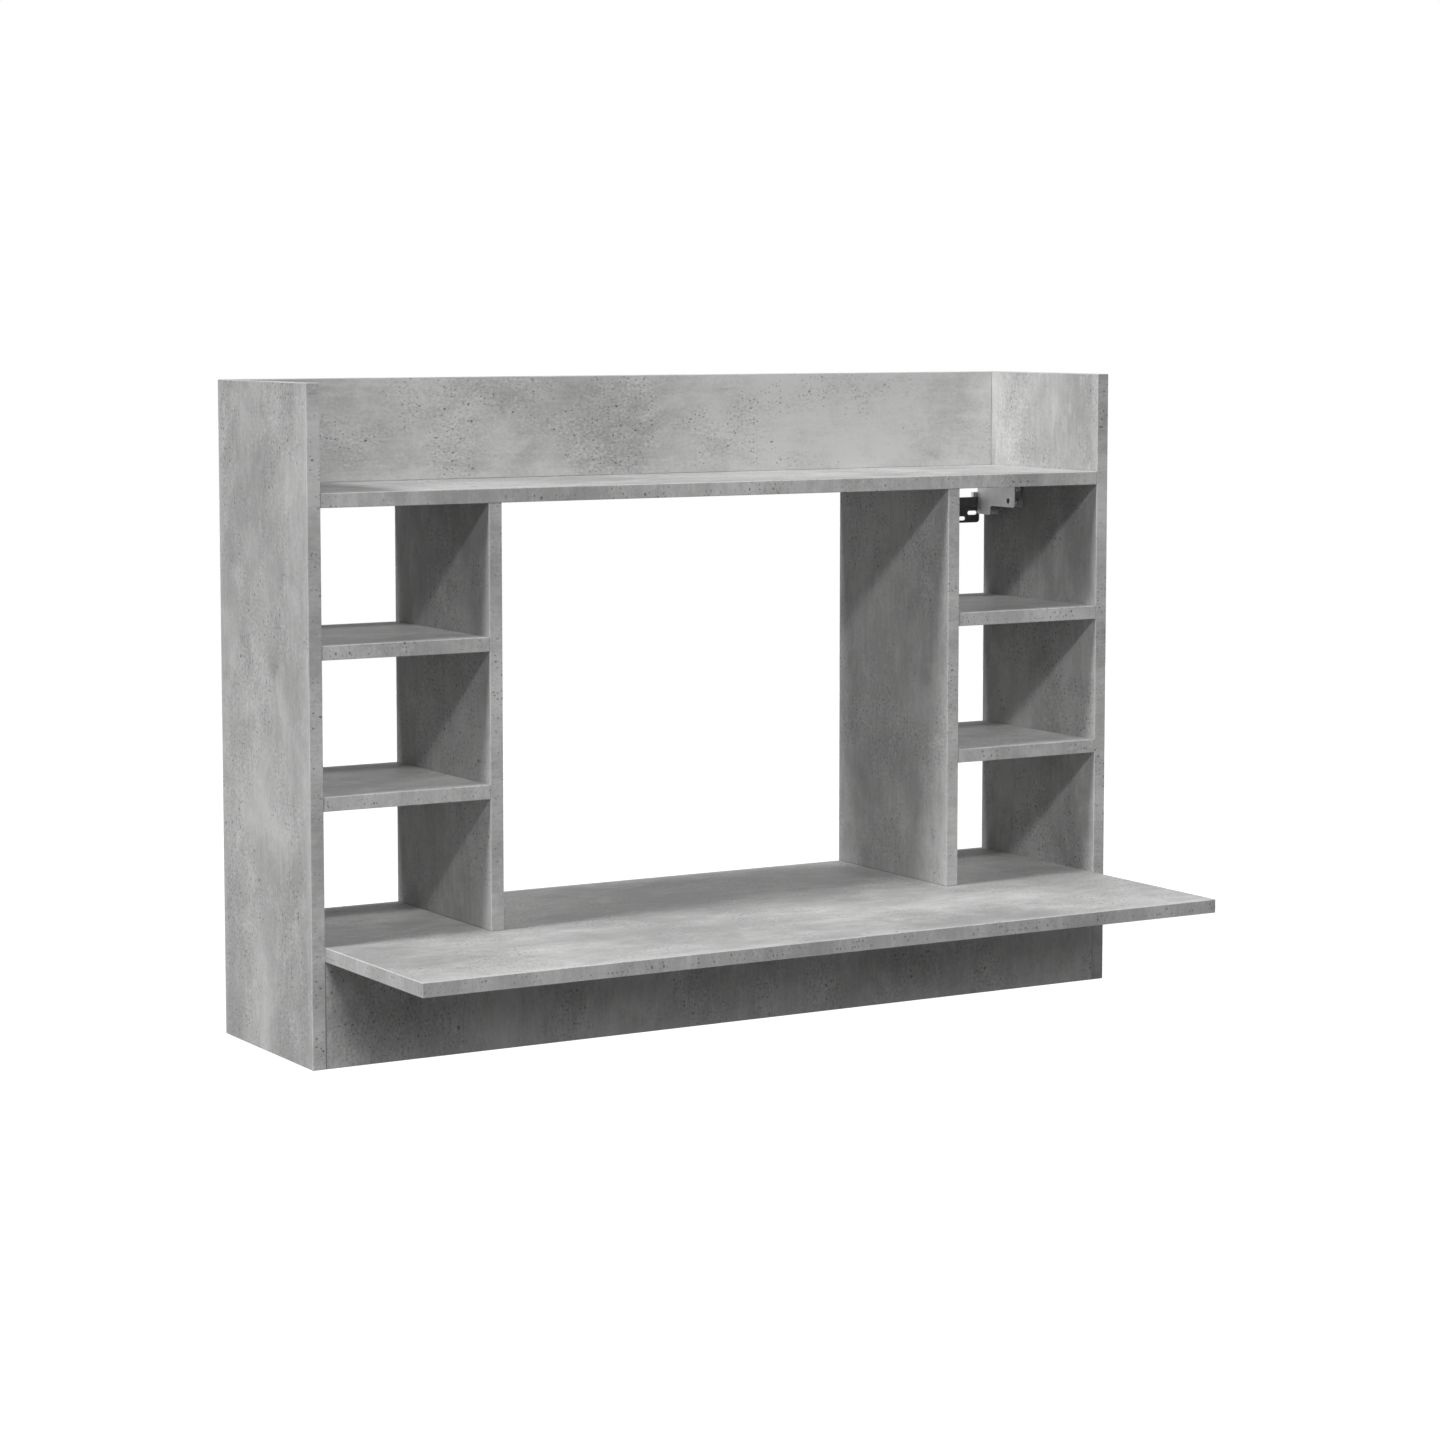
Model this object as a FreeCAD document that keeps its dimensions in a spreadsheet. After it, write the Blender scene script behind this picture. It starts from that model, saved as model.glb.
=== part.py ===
import FreeCAD, Part
import os
from math import cos, pi, sin
from types import SimpleNamespace
import Sketcher

# Wall-hung writing desk of 15 mm concrete-look board, in millimetres.
# X runs to the right, Y towards the wall, Z up. The wall is the plane Y = 0.
# The origin lies on the wall, midway between the two wall plates, at the height of their upper slots.

SIZES = {
    # board carcass
    "width": "1000",
    "height": "700",
    "carcass_depth": "225",
    "desk_depth": "450",
    "board": "15",
    "tray_height": "111",
    "apron_height": "111",
    "cubby_width": "190",
    "edge_round": "0.8",
    # places of the corner fittings, from the front, back and lower edges of the boards
    "fitting_inset": "40",
    "divider_screw_inset": "55",
    "desk_cam_inset": "85",
    "low_fitting_height": "35",
    "high_fitting_height": "78",
    "rail_dowel_spread": "330",
    # cam lock, its bolt and their holes
    "cam_diameter": "15",
    "cam_length": "11.8",
    "cam_setback": "34",
    "cam_drive_length": "8",
    "cam_drive_width": "1.4",
    "cam_drive_depth": "2.5",
    "bolt_thread_diameter": "5",
    "bolt_thread_length": "10.5",
    "bolt_shank_diameter": "5.4",
    "bolt_neck_diameter": "3.8",
    "bolt_neck_length": "6.5",
    "bolt_head_diameter": "6.5",
    "bolt_head_length": "5",
    "bolt_channel_diameter": "8",
    # dowel
    "dowel_diameter": "8",
    "dowel_length": "30",
    "dowel_in_panel": "10",
    "dowel_bevel": "1",
    # connecting screw and its cover cap
    "screw_diameter": "7",
    "screw_length": "50",
    "screw_head_diameter": "10",
    "screw_head_rim": "1",
    "screw_head_cone": "3",
    "screw_tip_length": "5",
    "screw_tip_diameter": "2.4",
    "screw_socket_width": "4",
    "screw_socket_depth": "3",
    "cap_diameter": "13",
    "cap_thickness": "0.5",
    # play between a fastener and its hole, and the spare depth of a blind hole
    "hole_play": "0.1",
    "hole_spare": "1",
    # hanger housing of folded sheet, screwed and pegged to the side panel
    "slot_drop": "42.6",
    "hanger_sheet": "1.5",
    "hanger_width": "13.5",
    "hanger_top_gap": "1",
    "hanger_length": "76",
    "hanger_wall_gap": "6",
    "hanger_rear_drop": "43.6",
    "hanger_front_drop": "33",
    "hanger_rear_length": "26.5",
    "hanger_slant": "2.4",
    "hanger_bend": "2",
    "hanger_corner": "2.5",
    "tab_setback": "2",
    "tab_drop": "20",
    "peg_diameter": "10",
    "peg_length": "11",
    "peg_from_wall": "24",
    "peg_drop": "20",
    "fixing_from_wall": "69",
    "fixing_drop": "25.5",
    "fixing_diameter": "4",
    "fixing_length": "13",
    "fixing_head_diameter": "7.6",
    "fixing_head_height": "2.4",
    "access_diameter": "6.2",
    # carriage that slides in the housing and carries the hook
    "slide_play": "0.3",
    "top_play": "0.1",
    "carriage_from_wall": "12",
    "carriage_length": "32",
    "carriage_drop": "37.5",
    "carriage_frame_length": "18",
    "carriage_nose_drop": "18",
    "carriage_side": "1.2",
    "carriage_cap": "3.4",
    "carriage_front": "4",
    # hook that rises and falls in the carriage
    "hook_play": "0.25",
    "hook_block_length": "13",
    "hook_block_top": "15",
    "hook_block_height": "12",
    "hook_arm_top": "17.7",
    "hook_arm_height": "5.9",
    "hook_lip_thickness": "2.5",
    "hook_lip_length": "6.4",
    "hook_wall_gap": "0.4",
    "hook_nose_reach": "19",
    "hook_nose_depth": "5.1",
    "hook_round": "1",
    # adjusting screws
    "depth_thread_diameter": "5",
    "depth_axis_drop": "11",
    "depth_tip_from_wall": "27",
    "depth_head_diameter": "8",
    "depth_head_height": "1.6",
    "height_thread_diameter": "4",
    "height_axis_from_wall": "19",
    "height_tip_drop": "3.4",
    "height_head_diameter": "7",
    "height_head_height": "2.6",
    "collar_extra": "1",
    "collar_height": "1.3",
    "collar_play": "0.15",
    "thread_play": "0.08",
    "drive_width": "1",
    "drive_depth": "0.9",
    "tip_bevel": "0.6",
    # wall plate, joggled so that its upper lip stands off the wall
    "plate_sheet": "2",
    "plate_from_panel": "8",
    "plate_length": "62",
    "plate_bottom_drop": "54.2",
    "plate_lip_height": "9.2",
    "plate_joggle_height": "4",
    "plate_standoff": "3.2",
    "plate_corner": "4",
    "slot_width": "4.8",
    "slot_length": "14",
    "outer_slot_from_edge": "10",
    "middle_slot_length": "22.6",
    "middle_slot_lower": "6.4",
}

doc = FreeCAD.newDocument("wall_desk")
sheet = doc.addObject("Spreadsheet::Sheet", "Sizes")
for row, (name, number) in enumerate(SIZES.items(), start=1):
    sheet.set(f"A{row}", name)
    sheet.set(f"B{row}", number)
    sheet.setAlias(f"B{row}", name)
doc.recompute()


class Measure:
    """A length, kept both as a formula of the sheet's cells and as the value it has now."""

    def __init__(self, text, value):
        self.text = text
        self.value = value

    def __add__(self, other):
        other = measure(other)
        return Measure(f"({self.text} + {other.text})", self.value + other.value)

    def __sub__(self, other):
        other = measure(other)
        return Measure(f"({self.text} - {other.text})", self.value - other.value)

    def __mul__(self, factor):
        return Measure(f"({self.text} * ({factor}))", self.value * factor)

    def __truediv__(self, divisor):
        return Measure(f"({self.text} / {divisor})", self.value / divisor)

    def __neg__(self):
        return self * -1

    def __radd__(self, other):
        return measure(other) + self

    def __rsub__(self, other):
        return measure(other) - self

    __rmul__ = __mul__


def measure(length):
    """A plain number as a Measure; a Measure as it is."""
    return length if isinstance(length, Measure) else Measure(str(length), float(length))


mm = SimpleNamespace(**{name: Measure(f"Sizes.{name}", float(number)) for name, number in SIZES.items()})

# The six ways along the axes, and the way back from each
WAYS = {
    "left": (-1, 0, 0),
    "right": (1, 0, 0),
    "front": (0, -1, 0),
    "back": (0, 1, 0),
    "down": (0, 0, -1),
    "up": (0, 0, 1),
}
BACK_FROM = {"left": "right", "right": "left", "front": "back", "back": "front", "down": "up", "up": "down"}
SIDES = {"left": -1, "right": 1}


def moved(point, way, distance):
    """The point, moved by a distance in one of the six ways."""
    return tuple(at + step * distance if step else at for at, step in zip(point, WAYS[way]))


def turned(z_way, x_way=None):
    """The turn that points a piece's own Z one way and, where it matters, its own X another way."""
    z_axis = FreeCAD.Vector(*WAYS[z_way])
    if x_way is None:
        return FreeCAD.Rotation(FreeCAD.Vector(0, 0, 1), z_axis)
    x_axis = FreeCAD.Vector(*WAYS[x_way])
    return FreeCAD.Rotation(x_axis, z_axis.cross(x_axis), z_axis, "ZXY")


def bind(item, **lengths):
    """Tie properties of an object to formulas of the sheet."""
    for property_name, length in lengths.items():
        item.setExpression(property_name, measure(length).text)


def place(item, point, rotation=None):
    """Turn an object and tie its place to formulas of the sheet."""
    if rotation is not None:
        item.Placement = FreeCAD.Placement(FreeCAD.Vector(), rotation)
    for axis, length in zip("xyz", point):
        item.setExpression(f"Placement.Base.{axis}", measure(length).text)


# Sketches and the features made from them

def new_body(label):
    body = doc.addObject("PartDesign::Body", label)
    body.Label = label
    return body


def sketch_on(body, plane, lift=0):
    """An empty sketch on one of the body's origin planes, lifted along that plane's normal."""
    sketch = body.newObject("Sketcher::SketchObject", f"{body.Name}_sketch")
    support = next(item for item in body.Origin.OriginFeatures if item.Role == plane)
    sketch.AttachmentSupport = (support, [""])
    sketch.MapMode = "FlatFace"
    sketch.setExpression("AttachmentOffset.Base.z", measure(lift).text)
    return sketch


def fix_point(sketch, element, end, point):
    """Hold one point of an element at two lengths from the sketch's origin."""
    for kind, length in zip(("DistanceX", "DistanceY"), point):
        length = measure(length)
        index = sketch.addConstraint(Sketcher.Constraint(kind, -1, 1, element, end, length.value))
        sketch.setExpression(f"Constraints[{index}]", length.text)


def fix_radius(sketch, element, radius):
    index = sketch.addConstraint(Sketcher.Constraint("Radius", element, radius.value))
    sketch.setExpression(f"Constraints[{index}]", radius.text)


def flat(point):
    return FreeCAD.Vector(*(measure(length).value for length in point))


def draw_outline(sketch, corners):
    """A closed outline of straight lines through the corners."""
    count = len(corners)
    for corner, following in zip(corners, corners[1:] + corners[:1]):
        sketch.addGeometry(Part.LineSegment(flat(corner), flat(following)))
    for number in range(count):
        sketch.addConstraint(Sketcher.Constraint("Coincident", number, 2, (number + 1) % count, 1))
    for number, corner in enumerate(corners):
        fix_point(sketch, number, 1, corner)


def draw_box(sketch, low, high):
    """A rectangle between two opposite corners."""
    draw_outline(sketch, [low, (high[0], low[1]), high, (low[0], high[1])])


def draw_circle(sketch, centre, radius):
    circle = Part.Circle(flat(centre), FreeCAD.Vector(0, 0, 1), radius.value)
    element = sketch.addGeometry(circle)
    fix_point(sketch, element, 3, centre)
    fix_radius(sketch, element, radius)


def draw_slot(sketch, centre, length, width):
    """A slot along the sketch's X with round ends."""
    radius = width / 2
    half_run = length / 2 - radius
    ends = [(centre[0] + half_run, centre[1]), (centre[0] - half_run, centre[1])]
    arcs = []
    for end, start_angle in zip(ends, (-pi / 2, pi / 2)):
        circle = Part.Circle(flat(end), FreeCAD.Vector(0, 0, 1), radius.value)
        arcs.append(sketch.addGeometry(Part.ArcOfCircle(circle, start_angle, start_angle + pi)))
    lines = []
    for here, there, side in ((ends[0], ends[1], 1), (ends[1], ends[0], -1)):
        start = flat((here[0], here[1] + side * radius))
        finish = flat((there[0], there[1] + side * radius))
        lines.append(sketch.addGeometry(Part.LineSegment(start, finish)))
    for number in range(2):
        sketch.addConstraint(Sketcher.Constraint("Tangent", arcs[number], 2, lines[number], 1))
        sketch.addConstraint(Sketcher.Constraint("Tangent", lines[number], 2, arcs[1 - number], 1))
    for arc, end in zip(arcs, ends):
        fix_point(sketch, arc, 3, end)
    sketch.addConstraint(Sketcher.Constraint("Equal", arcs[0], arcs[1]))
    fix_radius(sketch, arcs[0], radius)


def pad(body, sketch, length, against_normal=False):
    feature = body.newObject("PartDesign::Pad", f"{body.Name}_pad")
    feature.Profile = sketch
    feature.Reversed = against_normal
    bind(feature, Length=length)
    return feature


def pocket(body, sketch, depth, along_normal=False):
    """A cut from the sketch, which has to take material away."""
    doc.recompute()
    volume_before = body.Shape.Volume
    feature = body.newObject("PartDesign::Pocket", f"{body.Name}_pocket")
    feature.Profile = sketch
    feature.Reversed = along_normal
    bind(feature, Length=depth)
    doc.recompute()
    if body.Shape.Volume >= volume_before:
        raise RuntimeError(f"a pocket in {body.Label} cuts nothing")
    return feature


def revolve(body, profile):
    """A full turn of a half profile, drawn in the XZ plane, about the body's own Z axis."""
    sketch = sketch_on(body, "XZ_Plane")
    draw_outline(sketch, profile)
    feature = body.newObject("PartDesign::Revolution", f"{body.Name}_revolution")
    feature.Profile = sketch
    feature.ReferenceAxis = (sketch, ["V_Axis"])
    feature.Angle = 360
    return feature


def soften(body, kind, radius, wanted):
    """Round or bevel the body's straight edges that the test wants."""
    doc.recompute()
    base = body.Tip
    names = [
        f"Edge{number}"
        for number, edge in enumerate(base.Shape.Edges, start=1)
        if wanted(edge)
    ]
    if not names:
        raise RuntimeError(f"no edge of {body.Label} was found to soften")
    feature = body.newObject(f"PartDesign::{kind}", f"{body.Name}_{kind}")
    feature.Base = (base, names)
    bind(feature, **{"Radius" if kind == "Fillet" else "Size": radius})
    return feature


NEAR = 1e-6


def runs_along(edge, axes):
    """Whether an edge is straight and runs along one of the named axes."""
    if not isinstance(edge.Curve, Part.Line):
        return False
    direction = edge.Curve.Direction
    return any(abs(abs(getattr(direction, axis)) - 1) < NEAR for axis in axes)


def passes(edge, **places):
    """Whether an edge's middle has the given coordinates."""
    middle = edge.CenterOfMass
    return all(abs(getattr(middle, axis) - measure(at).value) < NEAR for axis, at in places.items())


# Main levels and places that several boards share

inner_half = mm.width / 2 - mm.board
shelf_under = mm.slot_drop
shelf_top = shelf_under + mm.board
carcass_top = shelf_top + mm.tray_height
carcass_bottom = carcass_top - mm.height
desk_under = carcass_bottom + mm.apron_height
desk_top = desk_under + mm.board
cubby_height = (shelf_under - desk_top - 2 * mm.board) / 3
cubby_levels = {
    "lower": desk_top + cubby_height,
    "upper": desk_top + 2 * cubby_height + mm.board,
}
divider_outer = inner_half - mm.cubby_width
divider_middle = divider_outer - mm.board / 2
half_depth = mm.carcass_depth / 2

boards = {}
holes = {}


def board(label, low, lengths, round_axes):
    """A rectangular board from its low corner, with its edges along the named axes lightly rounded."""
    body = new_body(f"{label}_blank")
    sketch = sketch_on(body, "XY_Plane")
    draw_box(sketch, (0, 0), lengths[:2])
    pad(body, sketch, lengths[2])
    soften(body, "Fillet", mm.edge_round, lambda edge: runs_along(edge, round_axes))
    place(body, low)
    boards[label] = body
    holes[label] = []


for side, sign in SIDES.items():
    board(
        f"{side}_side_panel",
        (sign * (mm.width / 2 - mm.board / 2) - mm.board / 2, -mm.carcass_depth, carcass_bottom),
        (mm.board, mm.carcass_depth, mm.height),
        "xyz",
    )
    board(
        f"{side}_divider",
        (sign * divider_middle - mm.board / 2, -mm.carcass_depth, desk_top),
        (mm.board, mm.carcass_depth, shelf_under - desk_top),
        "z",
    )
    cubby_middle = sign * (divider_outer + mm.cubby_width / 2)
    for level, under in cubby_levels.items():
        board(
            f"{side}_{level}_cubby_shelf",
            (cubby_middle - mm.cubby_width / 2, -mm.carcass_depth, under),
            (mm.cubby_width, mm.carcass_depth, mm.board),
            "x",
        )

inner_width = 2 * inner_half
for label, front, under, depth, tall, round_axes in (
    ("top_shelf", -mm.carcass_depth, shelf_under, mm.carcass_depth, mm.board, "x"),
    ("upper_back_strip", -mm.board, shelf_top, mm.board, mm.tray_height, "x"),
    ("desktop", -mm.desk_depth, desk_under, mm.desk_depth, mm.board, "xyz"),
    ("front_apron", -mm.carcass_depth, carcass_bottom, mm.board, mm.apron_height, "x"),
):
    board(label, (-inner_half, front, under), (inner_width, depth, tall), round_axes)

# Fasteners: one of each is modelled, and the others are linked to it

groups = {}


def put(group, point, rotation):
    """One more fastener of a group, in its place."""
    master, links = groups[group]
    link = doc.addObject("App::Link", f"{group}_{len(links) + 1}")
    link.LinkedObject = master
    place(link, point, rotation)
    links.append(link)


def drill(label, mouth, way, radius, depth):
    """A round hole in a board, from its mouth in the given way."""
    tool = doc.addObject("Part::Cylinder", f"{label}_hole_{len(holes[label]) + 1}")
    bind(tool, Radius=radius, Height=depth)
    place(tool, mouth, turned(way))
    holes[label].append(tool)


def drive_cross(body, span, width, depth, top):
    """A cross recess sunk into the top of a screw head."""
    for size in ((span, width), (width, span)):
        sketch = sketch_on(body, "XY_Plane", top)
        draw_box(sketch, (-size[0] / 2, -size[1] / 2), (size[0] / 2, size[1] / 2))
        pocket(body, sketch, depth)


def make_cam_lock():
    """Zinc drum, its own Z out of the board and its own X towards the bolt that it draws in."""
    body = new_body("cam_lock")
    sketch = sketch_on(body, "XY_Plane")
    draw_circle(sketch, (0, 0), mm.cam_diameter / 2 - mm.hole_play)
    pad(body, sketch, mm.cam_length, against_normal=True)
    bolt_level = -mm.board / 2
    head_room = mm.bolt_head_diameter / 2 + mm.slide_play
    neck_room = mm.bolt_neck_diameter / 2 + mm.slide_play
    sketch = sketch_on(body, "XY_Plane", bolt_level + head_room)
    head_half = mm.bolt_head_length / 2 + mm.slide_play
    draw_box(sketch, (-head_half, -head_room), (head_half, head_room))
    pocket(body, sketch, mm.cam_length)
    sketch = sketch_on(body, "YZ_Plane")
    draw_box(sketch, (-neck_room, -mm.cam_length), (neck_room, bolt_level + neck_room))
    pocket(body, sketch, mm.cam_diameter, along_normal=True)
    drive_cross(body, mm.cam_drive_length, mm.cam_drive_width, mm.cam_drive_depth, 0)
    return body


def make_cam_bolt():
    """Steel bolt, its own Z from the panel's face into the board, its head in the cam."""
    body = new_body("cam_bolt")
    thread = mm.bolt_thread_diameter / 2 - mm.hole_play
    shank = mm.bolt_shank_diameter / 2
    neck = mm.bolt_neck_diameter / 2
    head = mm.bolt_head_diameter / 2
    head_end = mm.cam_setback + mm.bolt_head_length / 2
    head_start = head_end - mm.bolt_head_length
    neck_start = head_start - mm.bolt_neck_length
    revolve(body, [
        (0, -mm.bolt_thread_length),
        (thread - mm.tip_bevel, -mm.bolt_thread_length),
        (thread, -mm.bolt_thread_length + mm.tip_bevel),
        (thread, 0),
        (shank, 0),
        (shank, neck_start),
        (neck, neck_start),
        (neck, head_start),
        (head, head_start),
        (head, head_end),
        (0, head_end),
    ])
    return body


def make_dowel():
    """Beech dowel, its own Z from its end in the panel into the board."""
    body = new_body("dowel")
    sketch = sketch_on(body, "XY_Plane")
    draw_circle(sketch, (0, 0), mm.dowel_diameter / 2 - mm.hole_play)
    pad(body, sketch, mm.dowel_length)
    soften(body, "Chamfer", mm.dowel_bevel, lambda edge: isinstance(edge.Curve, Part.Circle))
    return body


def make_screw():
    """Connecting screw with a socket head, its own Z out of its head."""
    body = new_body("connecting_screw")
    head = mm.screw_head_diameter / 2
    shank = mm.screw_diameter / 2
    tip = mm.screw_tip_diameter / 2
    head_end = mm.screw_head_rim + mm.screw_head_cone
    revolve(body, [
        (0, 0),
        (head, 0),
        (head, -mm.screw_head_rim),
        (shank, -head_end),
        (shank, -mm.screw_length + mm.screw_tip_length),
        (tip, -mm.screw_length),
        (0, -mm.screw_length),
    ])
    corner_radius = mm.screw_socket_width / 2 / cos(pi / 6)
    corners = [
        (corner_radius * cos(step * pi / 3), corner_radius * sin(step * pi / 3))
        for step in range(6)
    ]
    sketch = sketch_on(body, "XY_Plane")
    draw_outline(sketch, corners)
    pocket(body, sketch, mm.screw_socket_depth)
    return body


def make_cap():
    """Self-adhesive cap over a screw head, standing on the board."""
    body = new_body("cover_cap")
    sketch = sketch_on(body, "XY_Plane")
    draw_circle(sketch, (0, 0), mm.cap_diameter / 2)
    pad(body, sketch, mm.cap_thickness)
    return body


def make_fixing_screw():
    """Pan-head screw that holds a housing's inner cheek to the panel, its own Z out of its head."""
    body = new_body("fixing_screw")
    head = mm.fixing_head_diameter / 2
    shank = mm.fixing_diameter / 2
    rim = mm.fixing_head_height / 2
    revolve(body, [
        (0, mm.fixing_head_height),
        (head - rim, mm.fixing_head_height),
        (head, rim),
        (head, 0),
        (shank, 0),
        (shank, -mm.fixing_length + mm.fixing_diameter),
        (0, -mm.fixing_length),
    ])
    drive_cross(body, mm.fixing_diameter, mm.drive_width, mm.drive_depth, mm.fixing_head_height)
    return body


for group, make in {
    "cam_locks": make_cam_lock,
    "cam_bolts": make_cam_bolt,
    "wood_dowels": make_dowel,
    "confirmat_screws": make_screw,
    "screw_cover_caps": make_cap,
    "hanger_fixing_screws": make_fixing_screw,
}.items():
    groups[group] = (make(), [])


# Corner joints: each drills both boards and puts its fasteners in, from the point where the boards meet

def cam_joint(label, panel, point, out, hidden_face):
    """A cam lock in a board's hidden face, and its bolt in the panel that the board's end meets."""
    inward = BACK_FROM[out]
    face_centre = moved(moved(point, inward, mm.cam_setback), hidden_face, mm.board / 2)
    drill(label, face_centre, BACK_FROM[hidden_face], mm.cam_diameter / 2, mm.cam_length + mm.hole_play)
    drill(label, point, inward, mm.bolt_channel_diameter / 2, mm.cam_setback)
    drill(panel, point, out, mm.bolt_thread_diameter / 2, mm.bolt_thread_length + mm.hole_play)
    put("cam_locks", face_centre, turned(hidden_face, out))
    put("cam_bolts", point, turned(inward))


def dowel_joint(label, panel, point, out):
    """A dowel across the joint, shallow in the panel and deep in the board's end."""
    inward = BACK_FROM[out]
    radius = mm.dowel_diameter / 2
    drill(label, point, inward, radius, mm.dowel_length - mm.dowel_in_panel + mm.hole_spare)
    drill(panel, point, out, radius, mm.dowel_in_panel + mm.hole_spare)
    put("wood_dowels", moved(point, out, mm.dowel_in_panel), turned(inward))


def screw_joint(label, panel, point, out):
    """A connecting screw through the panel's thickness into the board's end. Returns the head's place."""
    inward = BACK_FROM[out]
    radius = mm.screw_diameter / 2 + mm.hole_play
    mouth = moved(point, out, mm.board)
    head_room = mm.screw_head_rim + mm.screw_head_cone + mm.hole_play
    drill(panel, mouth, inward, mm.screw_head_diameter / 2 + mm.hole_play, head_room)
    drill(panel, mouth, inward, radius, mm.board)
    drill(label, point, inward, radius, mm.screw_length - mm.board + mm.hole_spare)
    put("confirmat_screws", moved(mouth, inward, mm.hole_play), turned(out))
    return mouth


back_line = -mm.fitting_inset
front_line = -mm.carcass_depth + mm.fitting_inset

for side, sign in SIDES.items():
    panel = f"{side}_side_panel"
    divider = f"{side}_divider"
    panel_face = sign * inner_half

    shelf_level = shelf_under + mm.board / 2
    for line in (back_line, front_line):
        cam_joint("top_shelf", panel, (panel_face, line, shelf_level), side, "down")
    dowel_joint("top_shelf", panel, (panel_face, -half_depth, shelf_level), side)

    desk_level = desk_under + mm.board / 2
    desk_front_line = -mm.carcass_depth + mm.desk_cam_inset
    for line in (back_line, desk_front_line):
        cam_joint("desktop", panel, (panel_face, line, desk_level), side, "down")
    dowel_joint("desktop", panel, (panel_face, (back_line + desk_front_line) / 2, desk_level), side)

    for rail, middle, foot in (
        ("front_apron", -mm.carcass_depth + mm.board / 2, carcass_bottom),
        ("upper_back_strip", -mm.board / 2, shelf_top),
    ):
        cam_joint(rail, panel, (panel_face, middle, foot + mm.low_fitting_height), side, "back")
        dowel_joint(rail, panel, (panel_face, middle, foot + mm.high_fitting_height), side)

    screw_lines = (-mm.divider_screw_inset, -mm.carcass_depth + mm.divider_screw_inset)
    for neighbour, level, out in (("top_shelf", shelf_under, "up"), ("desktop", desk_top, "down")):
        for line in screw_lines:
            mouth = screw_joint(divider, neighbour, (sign * divider_middle, line, level), out)
            if out == "up":
                put("screw_cover_caps", mouth, turned(out))
        dowel_joint(divider, neighbour, (sign * divider_middle, -half_depth, level), out)

    for level, under in cubby_levels.items():
        shelf = f"{side}_{level}_cubby_shelf"
        middle = under + mm.board / 2
        for neighbour, face, out in (
            (panel, panel_face, side),
            (divider, sign * divider_outer, BACK_FROM[side]),
        ):
            cam_joint(shelf, neighbour, (face, -half_depth, middle), out, "down")
            for line in (back_line, front_line):
                dowel_joint(shelf, neighbour, (face, line, middle), out)

for spread in (-1, 0, 1):
    across = spread * mm.rail_dowel_spread
    dowel_joint("front_apron", "desktop", (across, -mm.carcass_depth + mm.board / 2, desk_under), "up")
    dowel_joint("upper_back_strip", "top_shelf", (across, -mm.board / 2, shelf_top), "down")

# Hangers. The right-hand one is modelled, in its own frame: X = 0 is the side panel's inner face,
# Y = 0 the wall and Z = 0 the underside of the top shelf. The left-hand one is its mirror image.

hanger_middle = -mm.hanger_width / 2
channel_near = -mm.hanger_sheet
channel_far = -mm.hanger_width + mm.hanger_sheet
web_top = -mm.hanger_top_gap
web_under = web_top - mm.hanger_sheet
housing_front = mm.hanger_wall_gap + mm.hanger_length
tab_front = housing_front - mm.tab_setback
tab_rear = tab_front - mm.hanger_sheet
depth_axis = (hanger_middle, -mm.depth_axis_drop)
depth_bore = mm.depth_thread_diameter / 2 + mm.thread_play
height_axis = (hanger_middle, -mm.height_axis_from_wall)
height_bore = mm.height_thread_diameter / 2 + mm.thread_play
hanger_datum = (inner_half, 0, shelf_under)
hanger_pieces = {}


def hanger_body(label):
    body = new_body(f"right_{label}")
    hanger_pieces[label] = body
    return body


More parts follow.
